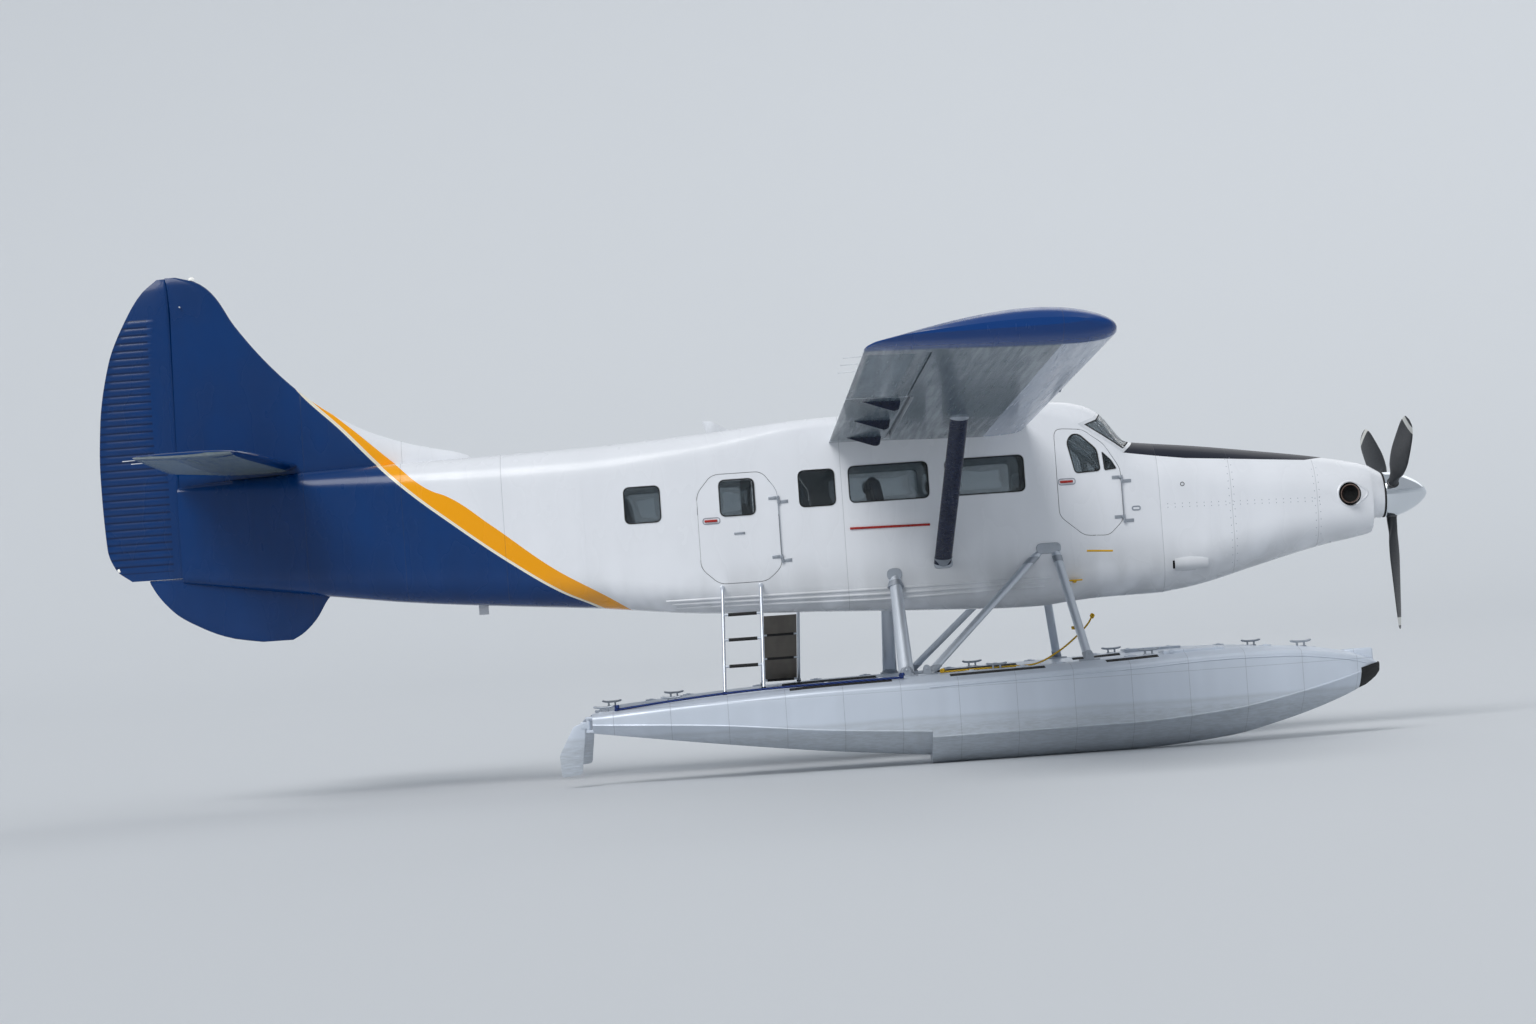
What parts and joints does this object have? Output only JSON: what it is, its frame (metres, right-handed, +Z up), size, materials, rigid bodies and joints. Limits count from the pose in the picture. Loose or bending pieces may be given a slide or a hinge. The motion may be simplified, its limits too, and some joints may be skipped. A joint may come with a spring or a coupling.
{
  "type": "floatplane",
  "caption": "High-wing turboprop floatplane on two straight floats, with hinged doors and control surfaces, water rudders and boarding ladders.",
  "frame": {"origin": "under the middle of the aircraft, on the level of the float keels", "axes": "+X to the nose, +Y to port along the wing, +Z up"},
  "size_m": [13.57, 17.6878, 5.434],
  "materials": {
    "white_paint": "gloss white paint on aluminium sheet",
    "blue_paint": "gloss dark blue paint on aluminium sheet",
    "wing_skin": "painted aluminium sheet",
    "float_skin": "satin aluminium sheet",
    "strut_metal": "bright aluminium",
    "spinner_metal": "polished",
    "blade": "matt black paint",
    "engine_metal": "heat-stained steel",
    "window_glass": "clear acrylic",
    "seat_trim": "woven cloth and leather",
    "floor_trim": "carpeted board",
    "panel_trim": "matt black",
    "yellow_line": "braided rope",
    "blue_line": "braided rope"
  },
  "bodies": {
    "airframe": {"cabin_shell": "white_paint", "cabin_roof": "white_paint", "cabin_belly": "white_paint", "rear_fuselage": "white_paint", "fin": "blue_paint", "ventral_fin": "blue_paint", "tailplane_right": "wing_skin", "tailplane_left": "wing_skin", "wing_right": "wing_skin", "wing_left": "wing_skin", "wing_strut_right": "blue_paint", "wing_strut_left": "blue_paint", "cowling": "white_paint", "engine": "engine_metal", "windshield": "window_glass", "cabin_windows_right": "window_glass", "cabin_windows_left": "window_glass", "float_right": "float_skin", "float_left": "float_skin", "spreader_bar_front": "strut_metal", "spreader_bar_rear": "strut_metal", "front_strut_right": "strut_metal", "front_strut_left": "strut_metal", "diagonal_strut_right": "strut_metal", "diagonal_strut_left": "strut_metal", "rear_strut_right": "strut_metal", "rear_strut_left": "strut_metal", "ladder_right": "strut_metal", "ladder_left": "strut_metal", "cabin_floor": "floor_trim", "instrument_panel": "panel_trim", "crew_seat_right": "seat_trim", "crew_seat_left": "seat_trim", "passenger_seats": "seat_trim", "yellow_rope": "yellow_line", "blue_rope": "blue_line"},
    "propeller": {"spinner": "spinner_metal", "propeller_blade_1": "blade", "propeller_blade_2": "blade", "propeller_blade_3": "blade"},
    "rudder": {"rudder": "blue_paint"},
    "elevators": {"elevator_right": "wing_skin", "elevator_left": "wing_skin"},
    "aileron_right": {"aileron_right": "wing_skin"},
    "aileron_left": {"aileron_left": "wing_skin"},
    "flap_right": {"flap_right": "wing_skin"},
    "flap_left": {"flap_left": "wing_skin"},
    "crew_door_right": {"crew_door_right": "white_paint", "crew_door_glass_right": "window_glass"},
    "crew_door_left": {"crew_door_left": "white_paint", "crew_door_glass_left": "window_glass"},
    "passenger_door": {"passenger_door": "white_paint", "passenger_door_glass": "window_glass"},
    "cargo_door_front": {"cargo_door_front": "white_paint", "cargo_door_glass_front": "window_glass"},
    "cargo_door_rear": {"cargo_door_rear": "white_paint", "cargo_door_glass_rear": "window_glass"},
    "water_rudder_right": {"water_rudder_right": "strut_metal"},
    "water_rudder_left": {"water_rudder_left": "strut_metal"}
  },
  "joints": [
    {"name": "propeller_spin", "type": "hinge", "parent": "airframe", "child": "propeller", "pos_m": [6.33, 0, 2.362], "axis": [1, 0, 0], "continuous": true},
    {"name": "rudder_turn", "type": "hinge", "parent": "airframe", "child": "rudder", "pos_m": [-6.015, 0, 3.9], "axis": [0, 0, 1], "range_deg": [-25, 25]},
    {"name": "elevator_tilt", "type": "hinge", "parent": "airframe", "child": "elevators", "pos_m": [-5.48, 0, 3.42], "axis": [0, 1, 0], "range_deg": [-15, 25]},
    {"name": "aileron_right_tilt", "type": "hinge", "parent": "airframe", "child": "aileron_right", "pos_m": [1.15406, -6.6629, 3.5202], "axis": [0, 0.9994, -0.0349], "range_deg": [-20, 20]},
    {"name": "aileron_left_tilt", "type": "hinge", "parent": "airframe", "child": "aileron_left", "pos_m": [1.15406, 6.6629, 3.5202], "axis": [0, 0.9994, 0.0349], "range_deg": [-20, 20]},
    {"name": "flap_right_tilt", "type": "hinge", "parent": "airframe", "child": "flap_right", "pos_m": [1.15406, -2.9398, 3.3902], "axis": [0, 0.9994, -0.0349], "range_deg": [-45, 0]},
    {"name": "flap_left_tilt", "type": "hinge", "parent": "airframe", "child": "flap_left", "pos_m": [1.15406, 2.9398, 3.3902], "axis": [0, 0.9994, 0.0349], "range_deg": [-45, 0]},
    {"name": "crew_door_right_swing", "type": "hinge", "parent": "airframe", "child": "crew_door_right", "pos_m": [3.561, -0.7344, 2.45], "axis": [0, 0, 1], "range_deg": [0, 80]},
    {"name": "crew_door_left_swing", "type": "hinge", "parent": "airframe", "child": "crew_door_left", "pos_m": [3.561, 0.7344, 2.45], "axis": [0, 0, -1], "range_deg": [0, 80]},
    {"name": "passenger_door_swing", "type": "hinge", "parent": "airframe", "child": "passenger_door", "pos_m": [0.092, -0.839, 2.4], "axis": [0, 0, 1], "range_deg": [0, 100]},
    {"name": "cargo_door_front_swing", "type": "hinge", "parent": "airframe", "child": "cargo_door_front", "pos_m": [0.458, 0.8414, 2.4], "axis": [0, 0, -1], "range_deg": [0, 100]},
    {"name": "cargo_door_rear_swing", "type": "hinge", "parent": "airframe", "child": "cargo_door_rear", "pos_m": [-0.729, 0.8321, 2.4], "axis": [0, 0, 1], "range_deg": [0, 100]},
    {"name": "water_rudder_right_steer", "type": "hinge", "parent": "airframe", "child": "water_rudder_right", "pos_m": [-1.93, -1.521, 0.6], "axis": [0, 0, 1], "range_deg": [-25, 25]},
    {"name": "water_rudder_left_steer", "type": "hinge", "parent": "airframe", "child": "water_rudder_left", "pos_m": [-1.93, 1.521, 0.6], "axis": [0, 0, 1], "range_deg": [-25, 25]}
  ],
  "couplings": [
    {"joint": "aileron_left_tilt", "follows": "aileron_right_tilt", "ratio": -1},
    {"joint": "flap_left_tilt", "follows": "flap_right_tilt", "ratio": 1},
    {"joint": "water_rudder_right_steer", "follows": "rudder_turn", "ratio": 1},
    {"joint": "water_rudder_left_steer", "follows": "rudder_turn", "ratio": 1}
  ]
}
